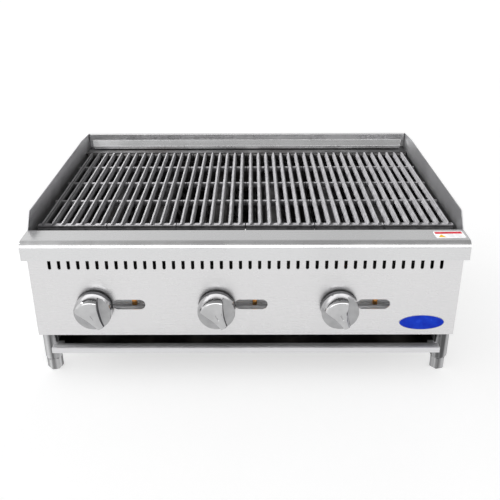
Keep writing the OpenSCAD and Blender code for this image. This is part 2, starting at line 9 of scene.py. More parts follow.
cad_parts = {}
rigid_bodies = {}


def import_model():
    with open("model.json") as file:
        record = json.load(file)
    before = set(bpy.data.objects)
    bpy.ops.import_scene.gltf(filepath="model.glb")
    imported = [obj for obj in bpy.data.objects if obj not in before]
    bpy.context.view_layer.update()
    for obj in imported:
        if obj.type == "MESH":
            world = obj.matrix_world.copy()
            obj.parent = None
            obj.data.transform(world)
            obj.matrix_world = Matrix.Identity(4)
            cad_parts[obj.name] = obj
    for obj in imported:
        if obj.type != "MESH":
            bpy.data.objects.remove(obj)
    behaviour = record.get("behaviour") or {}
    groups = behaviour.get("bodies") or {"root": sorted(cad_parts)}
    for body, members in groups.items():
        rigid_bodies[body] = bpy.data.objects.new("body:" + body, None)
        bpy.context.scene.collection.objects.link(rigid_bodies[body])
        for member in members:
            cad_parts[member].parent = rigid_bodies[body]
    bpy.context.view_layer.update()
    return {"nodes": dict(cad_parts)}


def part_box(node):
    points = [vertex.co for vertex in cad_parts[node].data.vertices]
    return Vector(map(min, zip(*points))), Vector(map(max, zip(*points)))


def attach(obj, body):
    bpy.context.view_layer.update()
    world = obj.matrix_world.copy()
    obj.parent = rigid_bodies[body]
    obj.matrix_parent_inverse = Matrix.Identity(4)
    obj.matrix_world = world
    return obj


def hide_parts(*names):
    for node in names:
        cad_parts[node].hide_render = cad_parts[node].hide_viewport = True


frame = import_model()

MM = 0.001
SIDES = ("left", "middle", "right")
CORNERS = ("front_left", "front_right", "rear_left", "rear_right")


# ---------------------------------------------------------------- materials

class Shader:
    """A principled material, with short ways to add nodes to it."""

    def __init__(self, name, metallic=0.0, roughness=0.5, color=(0.5, 0.5, 0.5)):
        self.mat = bpy.data.materials.new(name)
        self.mat.use_nodes = True
        self.tree = self.mat.node_tree
        self.bsdf = self.tree.nodes["Principled BSDF"]
        self.bsdf.inputs["Metallic"].default_value = metallic
        self.bsdf.inputs["Roughness"].default_value = roughness
        self.bsdf.inputs["Base Color"].default_value = (*color, 1.0)
        self.coords = self.tree.nodes.new("ShaderNodeTexCoord").outputs["Object"]
        self.bumps = None

    def node(self, kind, **values):
        made = self.tree.nodes.new("ShaderNode" + kind)
        for key, value in values.items():
            setattr(made, key, value)
        return made

    def wire(self, source, target):
        self.tree.links.new(source, target)

    def noise(self, scale, detail=3.0, stretch=(1, 1, 1), rough=0.55):
        """Noise from 0 to 1 in metres of the object's own space; scale is in features a metre."""
        mapping = self.node("Mapping")
        mapping.inputs["Scale"].default_value = [scale * s for s in stretch]
        self.wire(self.coords, mapping.inputs["Vector"])
        made = self.node("TexNoise")
        made.inputs["Scale"].default_value = 1.0
        made.inputs["Detail"].default_value = detail
        made.inputs["Roughness"].default_value = rough
        self.wire(mapping.outputs["Vector"], made.inputs["Vector"])
        return made.outputs["Fac"]

    def ramp(self, source, low, high, start=0.35, end=0.65):
        """Maps source from start..end to two values or two colours."""
        made = self.node("ValToRGB")
        stops = made.color_ramp.elements
        for stop, place, value in zip(stops, (start, end), (low, high)):
            stop.position = place
            stop.color = (*value, 1.0) if isinstance(value, tuple) else (value,) * 3 + (1.0,)
        self.wire(source, made.inputs["Fac"])
        return made.outputs["Color"]

    def mix(self, factor, low, high):
        made = self.node("Mix", data_type="RGBA")
        for socket, value in ((made.inputs[6], low), (made.inputs[7], high)):
            if isinstance(value, tuple):
                socket.default_value = (*value, 1.0)
            else:
                self.wire(value, socket)
        self.wire(factor, made.inputs[0])
        return made.outputs[2]

    def math(self, kind, a, b=None):
        made = self.node("Math", operation=kind)
        for socket, value in zip(made.inputs, (a, b)):
            if value is None:
                continue
            if isinstance(value, (int, float)):
                socket.default_value = value
            else:
                self.wire(value, socket)
        return made.outputs[0]

    def normal_part(self, axis):
        """One part of the surface's own normal, from -1 to 1."""
        split = self.node("SeparateXYZ")
        self.wire(self.node("NewGeometry").outputs["Normal"], split.inputs[0])
        return split.outputs[axis]

    def place(self, axis):
        """One object-space coordinate in metres."""
        split = self.node("SeparateXYZ")
        self.wire(self.coords, split.inputs[0])
        return split.outputs[axis]

    def color(self, source):
        self.wire(source, self.bsdf.inputs["Base Color"])

    def rough(self, source):
        self.wire(source, self.bsdf.inputs["Roughness"])

    def bump(self, source, depth, strength=1.0):
        """Adds a bump of depth metres on top of the earlier ones."""
        made = self.node("Bump")
        made.inputs["Strength"].default_value = strength
        made.inputs["Distance"].default_value = depth
        self.wire(source, made.inputs["Height"])
        if self.bumps:
            self.wire(self.bumps, made.inputs["Normal"])
        self.bumps = made.outputs["Normal"]
        self.wire(self.bumps, self.bsdf.inputs["Normal"])


def brushed_steel(name, tone, rough=0.3, grain=(3, 700, 700), spread=0.06, dent=0.00001):
    """Brushed stainless: fine lines along the grain, cloudy wipe marks, a soft sheen."""
    s = Shader(name, metallic=1.0, roughness=rough)
    cloud = s.noise(5, detail=4)
    s.color(s.ramp(cloud, tuple(c - spread for c in tone), tuple(c + spread for c in tone)))
    lines = s.noise(1, detail=3, stretch=grain)
    wipes = s.noise(14, detail=5, stretch=(1, 1.6, 0.7))
    both = s.math("ADD", s.math("MULTIPLY", lines, 0.5), s.math("MULTIPLY", wipes, 0.5))
    s.rough(s.ramp(both, rough - 0.07, rough + 0.09))
    s.bump(lines, dent)
    return s.mat


def drawn_tube(name, dark, light):
    """Drawn steel tube: wide dark and light bands up its length, which are painted reflections of
    the surroundings, and fine lines of grain that run up its length.
    """
    s = Shader(name, metallic=1.0, roughness=0.22)
    # Wide bands from near black to light: painted reflections, not a tone of the steel.
    reflection_bands = s.noise(1, detail=2, stretch=(60, 60, 1.5))
    s.color(s.ramp(reflection_bands, dark, light, start=0.36, end=0.62))
    lines = s.noise(1, detail=3, stretch=(700, 700, 8))
    s.rough(s.ramp(lines, 0.18, 0.32))
    s.bump(lines, 0.00001)
    return s.mat


def painted_shade_iron(name):
    """Near-black cast iron with a dull crust: the black is painted shade at the grate's rear end.
    """
    s = Shader(name, metallic=0.1, roughness=0.7)
    crust = s.noise(60, detail=5)
    s.color(s.ramp(crust, (0.012, 0.011, 0.011), (0.045, 0.043, 0.042)))
    s.rough(s.ramp(crust, 0.62, 0.8))
    s.bump(s.noise(400, detail=4), 0.0003, 0.7)
    return s.mat


def cast_iron(name):
    """Cast iron fresh from cleaning: rough gray skin, darker greasy patches, and tops painted
    lighter where they face up, as painted top light.
    """
    s = Shader(name, metallic=0.25, roughness=0.5)
    patches = s.noise(45, detail=5)
    skin = s.ramp(patches, (0.10, 0.098, 0.103), (0.165, 0.162, 0.168))
    # Lighter streaked tone for the tops: painted top light.
    top_streaks = s.noise(170, detail=4, stretch=(1, 0.25, 1))
    lit_top_tone = s.ramp(top_streaks, (0.17, 0.167, 0.174), (0.26, 0.256, 0.264))
    # Mask of up-facing faces, where the lighter tone paints the light falling on the tops.
    up = s.ramp(s.normal_part("Z"), 0.0, 1.0, start=0.80, end=0.97)
    s.color(s.mix(up, skin, lit_top_tone))
    s.rough(s.ramp(patches, 0.42, 0.58))
    s.bump(s.noise(700, detail=4), 0.00015, 0.6)
    s.bump(s.noise(230, detail=3, stretch=(1, 0.6, 1)), 0.0006, 0.7)
    return s.mat


def heated_steel(name, dark, light, rough=0.45):
    """Steel that has been through heat: straw and blue tints, soot and grease."""
    s = Shader(name, metallic=0.8, roughness=rough)
    soot_and_shade = s.noise(11, detail=6)
    tint = s.noise(6, detail=2)
    base = s.ramp(soot_and_shade, dark, light)
    s.color(s.mix(s.ramp(tint, 0.0, 0.45), base, (0.07, 0.055, 0.05)))
    s.rough(s.ramp(soot_and_shade, rough + 0.15, rough - 0.1))
    s.bump(s.noise(320, detail=4), 0.00008, 0.6)
    return s.mat


def chrome(name):
    """Polished chrome with faint handling marks."""
    s = Shader(name, metallic=1.0, roughness=0.07)
    s.color(s.ramp(s.noise(30, detail=3), (0.48, 0.48, 0.485), (0.56, 0.56, 0.565)))
    s.rough(s.ramp(s.noise(90, detail=5), 0.05, 0.12))
    s.bump(s.noise(60, detail=1), 0.00002, 0.5)
    return s.mat


def satin_chrome(name, dark, light):
    """Blasted chrome of the scoops: a fine grain with hardly any mirror; in dark tones it paints
    shade on the knob's walls.
    """
    s = Shader(name, metallic=1.0, roughness=0.36)
    grain = s.noise(900, detail=2)
    s.color(s.ramp(s.noise(60, detail=4), dark, light))
    s.rough(s.ramp(grain, 0.32, 0.42))
    s.bump(grain, 0.00001, 0.5)
    return s.mat


def turned_brass(name):
    """Machined brass: fine turning marks and a little tarnish."""
    s = Shader(name, metallic=1.0, roughness=0.28)
    tarnish = s.noise(120, detail=4)
    s.color(s.ramp(tarnish, (0.50, 0.22, 0.06), (0.78, 0.42, 0.14)))
    s.rough(s.ramp(tarnish, 0.38, 0.22))
    s.bump(s.noise(1, detail=2, stretch=(900, 3000, 900)), 0.00002)
    return s.mat


def enamelled_pipe(name, tone):
    """Black-painted or galvanised pipe with a slight orange peel."""
    s = Shader(name, metallic=0.35, roughness=0.45)
    wear = s.noise(24, detail=5)
    s.color(s.ramp(wear, tuple(c * 0.8 for c in tone), tuple(c * 1.25 for c in tone)))
    s.rough(s.ramp(wear, 0.5, 0.36))
    s.bump(s.noise(500, detail=2), 0.00006, 0.6)
    return s.mat


def shield_steel(name):
    """Firebox front: clean bright sheet low down, and near black above, as painted shade behind the
    vents.
    """
    s = Shader(name, metallic=0.9, roughness=0.5)
    cloud = s.noise(5, detail=4)
    clean = s.ramp(cloud, (0.66, 0.66, 0.67), (0.78, 0.78, 0.79))
    # Near-black tone above the clean sheet: painted shade behind the vents.
    soot_and_shade = s.ramp(cloud, (0.008, 0.008, 0.008), (0.03, 0.029, 0.028))
    height = s.ramp(s.place("Z"), 0.0, 1.0, start=SHIELD_CLEAN, end=SHIELD_SHADED)
    s.color(s.mix(height, clean, soot_and_shade))
    s.rough(s.ramp(cloud, 0.45, 0.58))
    s.bump(s.noise(1, detail=3, stretch=(3, 700, 700)), 0.00001)
    return s.mat


def gloss_plate(name, low, high, rough=0.2, gloss=0.5):
    """Gloss enamel or printed film: a small drift of tone and a slight sheen."""
    s = Shader(name, roughness=rough)
    s.bsdf.inputs["Specular IOR Level"].default_value = gloss
    cloud = s.noise(60, detail=3)
    s.color(s.ramp(cloud, low, high))
    s.rough(s.ramp(cloud, rough, rough + 0.08))
    s.bump(s.noise(700, detail=2), 0.00001, 0.5)
    return s.mat


def tray_steel(name):
    """Stainless front lip, with the pan behind it painted near black as painted shade."""
    s = Shader(name, metallic=0.9, roughness=0.34)
    lines = s.noise(1, detail=3, stretch=(3, 700, 700))
    clean = s.ramp(lines, (0.62, 0.62, 0.63), (0.70, 0.70, 0.71))
    # Near-black tone for the pan behind the lip: painted shade inside the tray.
    pan_shade_tone = s.ramp(s.noise(20, detail=5), (0.012, 0.011, 0.010), (0.05, 0.045, 0.04))
    pan_shade_mask = s.ramp(s.math("ADD", s.place("Y"), TRAY_RIM), 0.0, 1.0, start=0.0, end=0.003)
    s.color(s.mix(pan_shade_mask, clean, pan_shade_tone))
    s.rough(s.ramp(lines, 0.28, 0.4))
    s.bump(lines, 0.00001)
    return s.mat


def pale_floor(name):
    """Pale, softly glowing table, so that shadows on it stay light."""
    s = Shader(name, roughness=0.8)
    s.color(s.ramp(s.noise(1.5, detail=2), (0.58, 0.58, 0.58), (0.60, 0.60, 0.60)))
    s.bsdf.inputs["Emission Color"].default_value = (1, 1, 1, 1)
    s.bsdf.inputs["Emission Strength"].default_value = FLOOR_GLOW
    return s.mat


FLOOR_GLOW = 0.62
# Where the tray's clean lip ends and the painted shade of the pan begins, in metres in front of the
# middle
TRAY_RIM = 0.314
# Heights between which the firebox front turns from clean sheet to painted shade
SHIELD_CLEAN = 0.190
SHIELD_SHADED = 0.205
MATS = {
    "panel": brushed_steel("panel_steel", (0.70, 0.695, 0.70), rough=0.27, spread=0.006,
                           dent=0.000003),
    "ledge": brushed_steel("ledge_steel", (0.67, 0.67, 0.675), rough=0.26, spread=0.015,
                           dent=0.000004),
    "side": brushed_steel("side_steel", (0.58, 0.58, 0.59), rough=0.42, grain=(700, 3, 700)),
    "splash": brushed_steel("splash_steel", (0.84, 0.84, 0.845), rough=0.26, spread=0.04,
                            dent=0.000004),
    "back": brushed_steel("back_steel", (0.70, 0.70, 0.705), rough=0.38),
    "leg": drawn_tube("leg_steel", (0.09, 0.09, 0.092), (0.55, 0.55, 0.56)),
    "foot": drawn_tube("foot_steel", (0.12, 0.12, 0.122), (0.60, 0.60, 0.61)),
    "tray": tray_steel("tray_steel"),
    "screw": brushed_steel("screw_steel", (0.55, 0.55, 0.56), rough=0.3, grain=(900, 900, 900)),
    "iron": cast_iron("grate_iron"),
    # Near-black iron for the grate's rear end bar: painted shade.
    "soot_and_shade": painted_shade_iron("grate_soot"),
    "liner": heated_steel("liner_steel", (0.03, 0.03, 0.032), (0.11, 0.11, 0.113)),
    "radiant": heated_steel("radiant_steel", (0.02, 0.02, 0.021), (0.10, 0.098, 0.10)),
    "burner": heated_steel("burner_steel", (0.03, 0.03, 0.03), (0.09, 0.088, 0.087), rough=0.6),
    "shield": shield_steel("shield_steel"),
    "frame": enamelled_pipe("frame_paint", (0.05, 0.05, 0.052)),
    "pipe": enamelled_pipe("pipe_paint", (0.11, 0.11, 0.113)),
    "chrome": chrome("knob_chrome"),
    "satin": satin_chrome("knob_satin", (0.35, 0.35, 0.355), (0.41, 0.41, 0.415)),
    # Dark satin for the knob's side wall and the line down the grip's right wall: painted shade.
    "shadow": satin_chrome("knob_painted_shade", (0.06, 0.06, 0.065), (0.12, 0.12, 0.125)),
    "brass": turned_brass("valve_brass"),
    "blue": gloss_plate("badge_enamel", (0.003, 0.022, 0.36), (0.006, 0.04, 0.46), gloss=0.1),
    "white": gloss_plate("label_white", (0.80, 0.80, 0.81), (0.86, 0.86, 0.87)),
    "red": gloss_plate("label_red", (0.48, 0.002, 0.015), (0.56, 0.004, 0.022), gloss=0.2),
    "amber": gloss_plate("label_amber", (0.62, 0.36, 0.005), (0.70, 0.42, 0.01), gloss=0.2),
}


# ---------------------------------------------------------------- mesh tools

SHARP_ANGLE = 32


def finish_mesh(name, bm, mats, body, node, smooth_angle=40):
    """Turns a bmesh into a piece that rides on a body and stands for a CAD node."""
    bmesh.ops.recalc_face_normals(bm, faces=bm.faces)
    for face in bm.faces:
        face.smooth = True
    for edge in bm.edges:
        if len(edge.link_faces) == 2:
            edge.smooth = edge.calc_face_angle() < math.radians(smooth_angle)
    mesh = bpy.data.meshes.new(name)
    bm.to_mesh(mesh)
    bm.free()
    for mat in mats:
        mesh.materials.append(MATS[mat])
    piece = bpy.data.objects.new(name, mesh)
    bpy.context.scene.collection.objects.link(piece)
    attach(piece, body)
    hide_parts(node)
    return piece


def refine(node, body, mat, bevel=0.4):
    """A clean copy of a CAD node with its sharp edges rounded, which stands for it."""
    bm = bmesh.new()
    bm.from_mesh(frame["nodes"][node].data)
    bmesh.ops.remove_doubles(bm, verts=bm.verts, dist=0.01 * MM)
    bmesh.ops.dissolve_limit(bm, angle_limit=math.radians(0.5), verts=bm.verts, edges=bm.edges)
    sharp = [e for e in bm.edges
             if len(e.link_faces) == 2 and e.calc_face_angle() > math.radians(SHARP_ANGLE)]
    if sharp:
        bmesh.ops.bevel(bm, geom=sharp, offset=bevel * MM, offset_type="OFFSET", segments=2,
                        profile=0.5, affect="EDGES", clamp_overlap=True)
    piece = finish_mesh(node + "_shell", bm, [mat], body, node)
    weighted = piece.modifiers.new("flat_faces", "WEIGHTED_NORMAL")
    weighted.keep_sharp = True
    weighted.weight = 100
    return piece


def dress(node, mat):
    """Gives a carried-over CAD node its material."""
    data = frame["nodes"][node].data
    data.materials.clear()
    data.materials.append(MATS[mat])


# ---------------------------------------------------------------- knobs

KNOB_R = 40.5
KNOB_REACH = 45
KNOB_APEX = 53
KNOB_WALL = 16
KNOB_GAP = 5
KNOB_TURN = math.radians(155)
SCOOP_Z = 27
SCOOP_WALL = 1.1
CHAMFER_W = 4.5
CHAMFER_DROP = 3.2
# The face slopes down to the tip: its height and slope, measured from SLANT_END
SLANT_END = 38
SLANT_HEIGHT = 35.5
SLANT_SLOPE = 0.2
MARK_START, MARK_END = -4, 12.5
MARK_DEPTH = 1.1
KNOB_ROWS = 110
# Heights of the rings down the knob's side wall to its back
WALL_RINGS = (13.0, 8.0, 6.5, 5.5, KNOB_GAP)
# Finishes of the knob: polished chrome, satin scoops, and a dark tone that paints shade on the
# walls.
CHROME, SATIN, SHADED_WALL = range(3)


def smooth_step(x, low, high):
    t = min(max((x - low) / (high - low), 0.0), 1.0)
    return t * t * (3 - 2 * t)


def soft_min(a, b, k):
    t = min(max(0.5 + 0.5 * (b - a) / k, 0.0), 1.0)
    return b * (1 - t) + a * t - k * t * (1 - t)


def knob_height(x, y):
    """Height of the knob's face over the panel: x is across the grip, y is towards its tip."""
    r = min(math.hypot(x, y) / KNOB_R, 1.0)
    dome = KNOB_WALL + (KNOB_APEX - KNOB_WALL) * max(1 - r ** 3, 0.0) ** (1 / 3)
    slant = SLANT_HEIGHT + SLANT_SLOPE * (SLANT_END - y)
    body = soft_min(soft_min(dome, slant, 4.0), KNOB_REACH, 3.0)
    past = abs(x) - knob_grip(y)
    if x < 0:
        body -= CHAMFER_DROP * smooth_step(past, -CHAMFER_W, -0.3) * smooth_step(y, -12, 0)
    floor = SCOOP_Z + 0.8 * math.exp(-max(past, 0.0) / 4)
    scooped = soft_min(body, floor, 0.5)
    height = body + (scooped - body) * smooth_step(past, -0.3, SCOOP_WALL)
    in_mark = (smooth_step(y, MARK_START, MARK_START + 1.5)
               * (1 - smooth_step(y, MARK_END - 1.5, MARK_END)))
    groove = (1 - smooth_step(abs(x), 0.4, 1.1)) * in_mark
    return height - MARK_DEPTH * groove


def knob_grip(y):
    """Half the width of the grip, narrow at the tip and wide at the tail."""
    part = min(max((KNOB_R + 1 - y) / 68, 0.0), 1.3)
    return 6.5 + 21.5 * part ** 1.7


def knob_finish(point):
    """Polished chrome, the satin of the scoops, or the dark line of painted shade down the right
    wall.
    """
    past = abs(point.x) - knob_grip(point.y)
    if past > SCOOP_WALL and abs(point.z - SCOOP_Z) < 1.6:
        return SATIN
    on_wall = point.x < 0 and past > -0.3 and point.z < KNOB_REACH - 4
    if on_wall and knob_height(point.x, point.y) > SCOOP_Z:
        return SHADED_WALL
    return CHROME


def knob_columns(y):
    """Places across one section of the knob, crowded at the mark and at the grip's walls."""
    reach = math.sqrt(max(KNOB_R ** 2 - y * y, 0.0))
    grip = min(knob_grip(y), 0.84 * reach)
    near = min(1.0, (reach - grip) / 3)
    places = [p * min(1.0, grip / 5) for p in (0.25, 0.5, 0.8, 1.15)]
    inner = places[-1]
    places += [inner + (grip - 1.5 * near - inner) * k / 6 for k in range(1, 7)]
    places += [grip + d * near for d in (-0.9, -0.5, -0.2, 0.1, 0.4, 0.7, 1.0, 1.4, 2.0)]
    edge = places[-1]
    places += [edge + (reach - edge) * (1 - (1 - k / 9) ** 1.6) for k in range(1, 10)]
    return [-p for p in reversed(places)] + [0.0] + places


def add_knob_face(bm):
    """The knob's face as a grid of sections; gives back its outline as one ring."""
    grid = []
    for j in range(KNOB_ROWS + 1):
        y = KNOB_R * math.sin(math.pi * (j / KNOB_ROWS - 0.5)) * 0.9995
        grid.append([bm.verts.new((x, y, knob_height(x, y))) for x in knob_columns(y)])
    for a, b in zip(grid, grid[1:]):
        for k in range(len(a) - 1):
            face = bm.faces.new((a[k], a[k + 1], b[k + 1], b[k]))
            face.material_index = knob_finish(face.calc_center_median())
    right = [row[-1] for row in grid[1:-1]]
    left = [row[0] for row in grid[-2:0:-1]]
    return grid[0] + right + grid[-1][::-1] + left


def add_knob_wall(bm, rim):
    """The side wall and back of the knob, down from the face's outline, in the dark tone that
    paints shade on them.
    """
    for height in WALL_RINGS:
        ring = [bm.verts.new((v.co.x, v.co.y, height)) for v in rim]
        for k in range(len(rim)):
            m = (k + 1) % len(rim)
            bm.faces.new((rim[k], rim[m], ring[m], ring[k])).material_index = SHADED_WALL
        rim = ring
    bm.faces.new(rim).material_index = SHADED_WALL


def build_knob(side):
    """Chrome knob with a wedge-shaped grip between two scoops, turned to where the photo has it."""
    node = "knob_" + side
    low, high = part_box(node)
    cx, cz = (low[0] + high[0]) / 2, (low[2] + high[2]) / 2
    panel = high[1] + KNOB_GAP * MM
    turn = Matrix.Rotation(-KNOB_TURN, 4, "Z")
    stand = Matrix.Translation((cx, panel, cz)) @ Matrix.Rotation(math.pi / 2, 4, "X") @ turn

    bm = bmesh.new()
    add_knob_wall(bm, add_knob_face(bm))
    bmesh.ops.scale(bm, vec=(MM, MM, MM), verts=bm.verts)
    bmesh.ops.transform(bm, matrix=stand, verts=bm.verts)
    finishes = ["chrome", "satin", "shadow"]
    return finish_mesh(node + "_face", bm, finishes, node + "_body", node, smooth_angle=30)


# ---------------------------------------------------------------- grates

BAR_COUNT = 7
BAR_PITCH = 21.05
# Half the section of a bar, as (across, below the top): narrow crown, groove, sloping flank
BAR_SECTION = (
    (0.0, 0.0), (1.0, -0.1), (1.8, -0.4), (2.3, -1.0), (2.5, -1.9), (2.5, -2.8),
    (0.8, -3.1), (0.8, -4.1), (3.4, -4.5), (3.9, -4.9), (5.2, -10.2), (5.0, -11.0), (4.3, -11.5),
)
BAR_DEPTH = 11.5
BAR_SETBACK = 2
NOSE_RUN = 7
NOSE_DROP = 4
RIB_PITCH = 123.5
FIRST_RIB = 27
# Material slots of a grate: plain iron, and near-black iron that paints shade on the rear end bar.
IRON, SHADED_END = range(2)


def bar_rings():
    """Section of a bar as one closed ring of (across, down)."""
    right = list(BAR_SECTION)
    left = [(-x, z) for x, z in reversed(right[1:])]
    return right + left


def build_grate(index):
    node = "grate_%d" % index
    body = node + "_body"
    low, high = (Vector(c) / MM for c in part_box(node))
    cx = (low.x + high.x) / 2
    rng = random.Random(100 + index)
    bm = bmesh.new()
    add_bars(bm, cx, low, high, rng)
    add_ribs(bm, low, high, rng)
    add_end_bar(bm, low, high, low.y, 1, IRON)
    # The rear end bar takes the near-black iron, which paints shade there.
    add_end_bar(bm, low, high, high.y, -1, SHADED_END)
    bmesh.ops.scale(bm, vec=(MM, MM, MM), verts=bm.verts)
    return finish_mesh(node + "_casting", bm, ["iron", "soot_and_shade"], body, node, smooth_angle=50)


def loft(bm, rings, tone=IRON):
    """Skins a list of rings of points, each ring closed, and closes both ends."""
    made = [[bm.verts.new(p) for p in ring] for ring in rings]
    count = len(made[0])
    for a, b in zip(made, made[1:]):
        for k in range(count):
            m = (k + 1) % count
            bm.faces.new((a[k], a[m], b[m], b[k])).material_index = tone
    bm.faces.new(made[0][::-1]).material_index = tone
    bm.faces.new(made[-1]).material_index = tone


def add_bars(bm, cx, low, high, rng):
    """Seven bars whose rounded front ends stand a little behind the end bar's edge."""
    start, end = low.y + BAR_SETBACK, high.y - 0.5
    for k in range(BAR_COUNT):
        x = cx + (k - (BAR_COUNT - 1) / 2) * BAR_PITCH
        seed = rng.random() * 100
        rings = []
        for y, drop in bar_stations(start, end):
            bend = 0.18 * noise.noise(Vector((seed, y * 0.01, 0)))
            ring = []
            for dx, dz in bar_rings():
                wobble = noise.noise(Vector((x + dx * 0.5, y * 0.06, dz * 0.2 + seed)))
                ring.append((x + dx * (1 + 0.035 * wobble) + bend, y,
                             high.z + dz * (1 - drop / BAR_DEPTH) - drop - 0.12 * abs(wobble)))
            rings.append(ring)
        loft(bm, rings)


def bar_stations(start, end):
    """Places along a bar with how far its top has dropped there: both ends are rounded."""
    turns = [math.pi / 2 * k / 6 for k in range(7)]
    nose = [(NOSE_RUN * (1 - math.cos(t)), NOSE_DROP * (1 - math.sin(t))) for t in turns]
    steps = 80
    middle = [start + NOSE_RUN + (end - start - 2 * NOSE_RUN) * k / steps for k in range(1, steps)]
    return ([(start + run, drop) for run, drop in nose] + [(y, 0.0) for y in middle]
            + [(end - run, drop) for run, drop in reversed(nose)])


def add_ribs(bm, low, high, rng):
    """Three cross ribs below the bar tops, rounded on top."""
    section = ((-3.8, -17), (-4.0, -6.2), (-3.5, -5.4), (-1.8, -5.05), (0, -5.0),
               (1.8, -5.05), (3.5, -5.4), (4.0, -6.2), (3.8, -17))
    for n in (1, 2, 3):
        y = low.y + FIRST_RIB + n * RIB_PITCH
        rings = []
        for j in range(41):
            x = low.x + (high.x - low.x) * j / 40
            wobble = 0.25 * noise.noise(Vector((x * 0.08, n * 7.0, rng.random() * 0.2)))
            rings.append([(x, y + dy, high.z + dz + wobble - 0.25) for dy, dz in section])
        loft(bm, rings)


def add_end_bar(bm, low, high, edge, inward, tone):
    """End bar with a flat top below the bars and a shallow line along its outer face."""
    section = ((0.9, -4.6), (0.2, -5.3), (0.0, -6.2), (0.0, -9.6), (0.7, -10.2), (0.7, -11.2),
               (0.1, -11.8), (0.6, -21.0), (1.6, -22.0), (12.5, -22.0), (13.5, -21.0),
               (14.0, -6.5), (13.4, -5.2), (12.4, -4.6))
    rings = []
    for j in range(49):
        x = low.x + (high.x - low.x) * j / 48
        pinch = 1.0 if 0 < j < 48 else 0.96
        ring = []
        for dy, dz in section:
            wobble = 0.16 * noise.noise(Vector((x * 0.1, dy, dz * 0.3 + inward)))
            depth = 7 + (dy - 7) * pinch
            ring.append((x, edge + inward * max(depth + abs(wobble), 0.0),
                         max(high.z + dz * pinch - 0.1 - abs(wobble), low.z)))
        rings.append(ring)
    loft(bm, rings, tone)


# ---------------------------------------------------------------- small pieces

BADGE_SIDES = 96
# Rings of the badge from back to middle: size, millimetres behind the front, slot (rim or enamel)
BADGE_RINGS = (
    (1.0, 0.5, 0), (0.992, 0.1, 0), (0.978, 0.0, 0), (0.955, 0.05, 0), (0.94, 0.5, 0),
    (0.93, 0.6, 1), (0.6, 0.45, 1), (0.3, 0.35, 1),
)
BADGE_RIM_SIZE = 0.9
LABEL_HALF_W, LABEL_HALF_D = 30.5, 16.5
LABEL_CORNER = 3.0
LABEL_TURN = math.radians(2)
LABEL_FILM = 0.25
LABEL_PRINT = 0.33
LABEL_BAR = 0.3
WHITE, RED, AMBER, GRAY = range(4)


def badge_ring(bm, centre, half, size, y):
    """One oval ring: rings of the rim keep an even width, those of the enamel shrink in step."""
    a, b = half
    if size > BADGE_RIM_SIZE:
        inset = (1 - size) * b
        a, b = a - inset, b - inset
    else:
        a, b = a * size, b * size
    turns = [2 * math.pi * k / BADGE_SIDES for k in range(BADGE_SIDES)]
    return [bm.verts.new((centre[0] + a * math.cos(t), y, centre[1] + b * math.sin(t)))
            for t in turns]


def build_badge():
    """Plain oval enamel plate with a raised bright rim."""
    low, high = (Vector(c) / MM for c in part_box("badge"))
    centre = ((low.x + high.x) / 2, (low.z + high.z) / 2)
    half = ((high.x - low.x) / 2, (high.z - low.z) / 2)
    bm = bmesh.new()
    last = badge_ring(bm, centre, half, 1.0, high.y)
    bm.faces.new(last[::-1])
    for size, pan_shade_mask, slot in BADGE_RINGS:
        ring = badge_ring(bm, centre, half, size, low.y + pan_shade_mask)
        for k in range(BADGE_SIDES):
            m = (k + 1) % BADGE_SIDES
            bm.faces.new((last[k], last[m], ring[m], ring[k])).material_index = slot
        last = ring
    bm.faces.new(last).material_index = 1
    bmesh.ops.scale(bm, vec=(MM, MM, MM), verts=bm.verts)
    return finish_mesh("badge_plate", bm, ["chrome", "blue"], "chassis", "badge")


def add_slab(bm, points, z0, z1, slot):
    """A flat slab over an outline, from height z0 to z1."""
    lower = [bm.verts.new((x, y, z0)) for x, y in points]
    upper = [bm.verts.new((x, y, z1)) for x, y in points]
    bm.faces.new(lower[::-1]).material_index = slot
    bm.faces.new(upper).material_index = slot
    for k in range(len(points)):
        m = (k + 1) % len(points)
        bm.faces.new((lower[k], lower[m], upper[m], upper[k])).material_index = slot


def label_outline():
    """Rectangle with rounded corners, counter-clockwise from the right."""
    outline = []
    for n, (sx, sy) in enumerate(((1, 1), (-1, 1), (-1, -1), (1, -1))):
        for k in range(7):
            t = math.pi / 2 * (n + k / 6)
            outline.append((sx * (LABEL_HALF_W - LABEL_CORNER) + LABEL_CORNER * math.cos(t),
                            sy * (LABEL_HALF_D - LABEL_CORNER) + LABEL_CORNER * math.sin(t)))
    return outline


def build_label():
    """Plain printed label: white film, a red band, an amber triangle and blank gray bars."""
    low, high = (Vector(c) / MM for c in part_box("caution_label"))
    bm = bmesh.new()
    add_slab(bm, label_outline(), 0.0, LABEL_FILM, WHITE)
    band = [(-28, 4), (28, 4), (28, 14), (-28, 14)]
    add_slab(bm, band, LABEL_FILM, LABEL_PRINT, RED)
    triangle = [(-25.5, -12.5), (-9.5, -12.5), (-17.5, 1.5)]
    add_slab(bm, triangle, LABEL_FILM, LABEL_PRINT, AMBER)
    for y in (1.0, -4.5, -10.0):
        bar = [(-4, y - 1.0), (24, y - 1.0), (24, y + 0.2), (-4, y + 0.2)]
        add_slab(bm, bar, LABEL_FILM, LABEL_BAR, GRAY)
    centre = ((low.x + high.x) / 2, (low.y + high.y) / 2, low.z)
    place = Matrix.Translation(centre) @ Matrix.Rotation(LABEL_TURN, 4, "Z")
    bmesh.ops.transform(bm, matrix=place, verts=bm.verts)
    bmesh.ops.scale(bm, vec=(MM, MM, MM), verts=bm.verts)
    return finish_mesh("caution_label_film", bm, ["white", "red", "amber", "tray"], "chassis",
                       "caution_label")


# ---------------------------------------------------------------- the object

